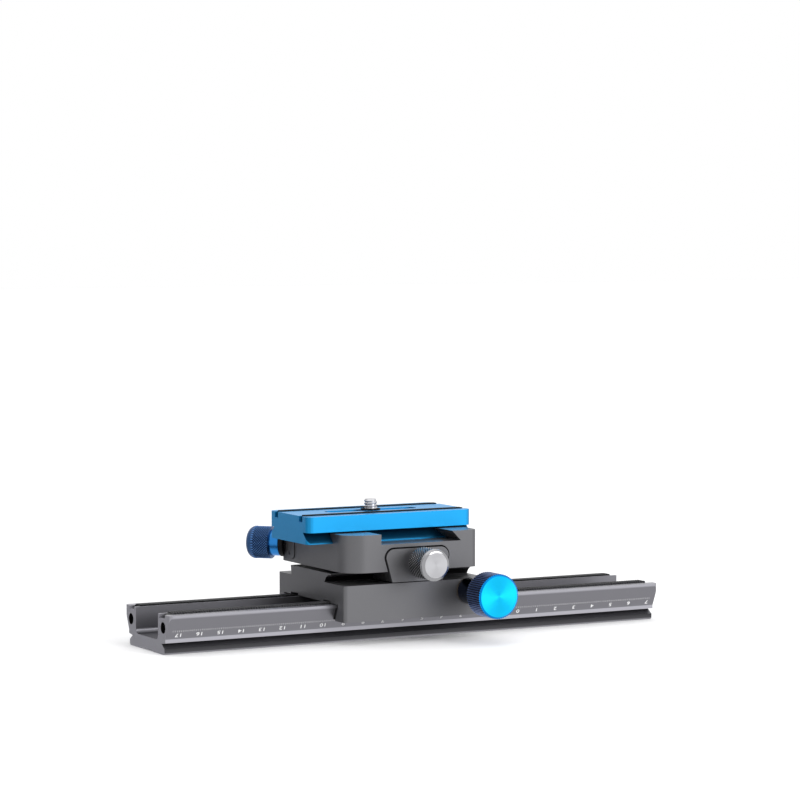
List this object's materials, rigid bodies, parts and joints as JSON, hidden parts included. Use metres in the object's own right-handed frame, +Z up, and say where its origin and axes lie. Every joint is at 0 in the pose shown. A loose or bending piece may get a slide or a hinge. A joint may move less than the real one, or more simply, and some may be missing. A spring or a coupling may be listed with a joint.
{
  "type": "macro focusing rail",
  "caption": "Geared focusing rail with a rack-driven carriage, cross clamp with two lock knobs and a sliding quick-release plate.",
  "frame": {"origin": "centre of the rail's underside", "axes": "+X along the rail to the right, +Y to the rear, away from the drive knob, +Z up"},
  "size_m": [0.25, 0.1083, 0.0615],
  "materials": {
    "anodised_grey": "bead blasted and anodised",
    "blue_anodised": "anodised, satin",
    "dark_blue_anodised": "anodised, knurled",
    "silver_aluminium": "turned and knurled",
    "bright_steel": "machined",
    "dark_steel": "blackened",
    "black_steel": "black oxide",
    "brass": "machined",
    "strip_black": "moulded",
    "rubber_black": "matt"
  },
  "bodies": {
    "rail": {"rail_extrusion": "anodised_grey", "gear_rack": "dark_steel", "guide_strip": "strip_black"},
    "carriage": {"carriage_body": "anodised_grey", "front_guide_pad": "strip_black", "rear_gib": "strip_black", "slide_pads": "strip_black", "gib_screws": "black_steel", "front_bush": "brass", "rear_bush": "brass", "drag_shoe": "brass", "drag_screw": "black_steel"},
    "drive": {"drive_knob": "blue_anodised", "drive_shaft": "bright_steel", "shaft_clip": "black_steel", "drive_knob_screw": "black_steel", "pinion": "bright_steel"},
    "clamp": {"clamp_body": "anodised_grey", "lower_guide_pins": "bright_steel", "corner_guide_pins": "bright_steel", "lower_jaw_spring": "bright_steel", "corner_jaw_spring": "bright_steel"},
    "lower_jaw_body": {"lower_jaw": "anodised_grey"},
    "lower_lock": {"silver_knob": "silver_aluminium", "lower_lock_screw": "bright_steel"},
    "corner_jaw_body": {"corner_jaw": "anodised_grey", "lock_washer": "strip_black"},
    "corner_lock": {"blue_lock_knob": "dark_blue_anodised", "corner_lock_screw": "bright_steel"},
    "plate": {"quick_release_plate": "blue_anodised", "front_grip_strip": "rubber_black", "rear_grip_strip": "rubber_black"},
    "camera_screw_body": {"camera_screw": "bright_steel", "camera_screw_ring": "rubber_black"}
  },
  "joints": [
    {"name": "carriage_slide", "type": "slide", "parent": "rail", "child": "carriage", "axis": [1, 0, 0], "range_m": [-0.08, 0.097]},
    {"name": "drive_turn", "type": "hinge", "parent": "carriage", "child": "drive", "pos_m": [0.0177, -0.04, 0.0215], "axis": [0, 1, 0], "range_deg": [-1280, 1550]},
    {"name": "clamp_slide", "type": "slide", "parent": "carriage", "child": "clamp", "axis": [1, 0, 0], "range_m": [-0.015, 0.005]},
    {"name": "lower_jaw_slide", "type": "slide", "parent": "clamp", "child": "lower_jaw_body", "axis": [0, -1, 0], "range_m": [0, 0.003]},
    {"name": "lower_lock_turn", "type": "hinge", "parent": "lower_jaw_body", "child": "lower_lock", "pos_m": [-0.0085, -0.04, 0.0358], "axis": [0, -1, 0], "range_deg": [0, 1350]},
    {"name": "corner_jaw_slide", "type": "slide", "parent": "clamp", "child": "corner_jaw_body", "axis": [-0.7071, 0.7071, 0], "range_m": [0, 0.004]},
    {"name": "corner_lock_turn", "type": "hinge", "parent": "corner_jaw_body", "child": "corner_lock", "pos_m": [-0.04585, 0.03535, 0.0398], "axis": [-0.7071, 0.7071, 0], "range_deg": [0, 1800]},
    {"name": "plate_slide", "type": "slide", "parent": "clamp", "child": "plate", "axis": [1, 0, 0], "range_m": [-0.02, 0.02]},
    {"name": "camera_screw_turn", "type": "hinge", "parent": "plate", "child": "camera_screw_body", "pos_m": [-0.0145, 0, 0.05], "axis": [0, 0, 1], "continuous": true}
  ],
  "couplings": [
    {"joint": "drive_turn", "follows": "carriage_slide", "rad_per_m": 277.78},
    {"joint": "lower_lock_turn", "follows": "lower_jaw_slide", "rad_per_m": 7854},
    {"joint": "corner_lock_turn", "follows": "corner_jaw_slide", "rad_per_m": 7854}
  ]
}
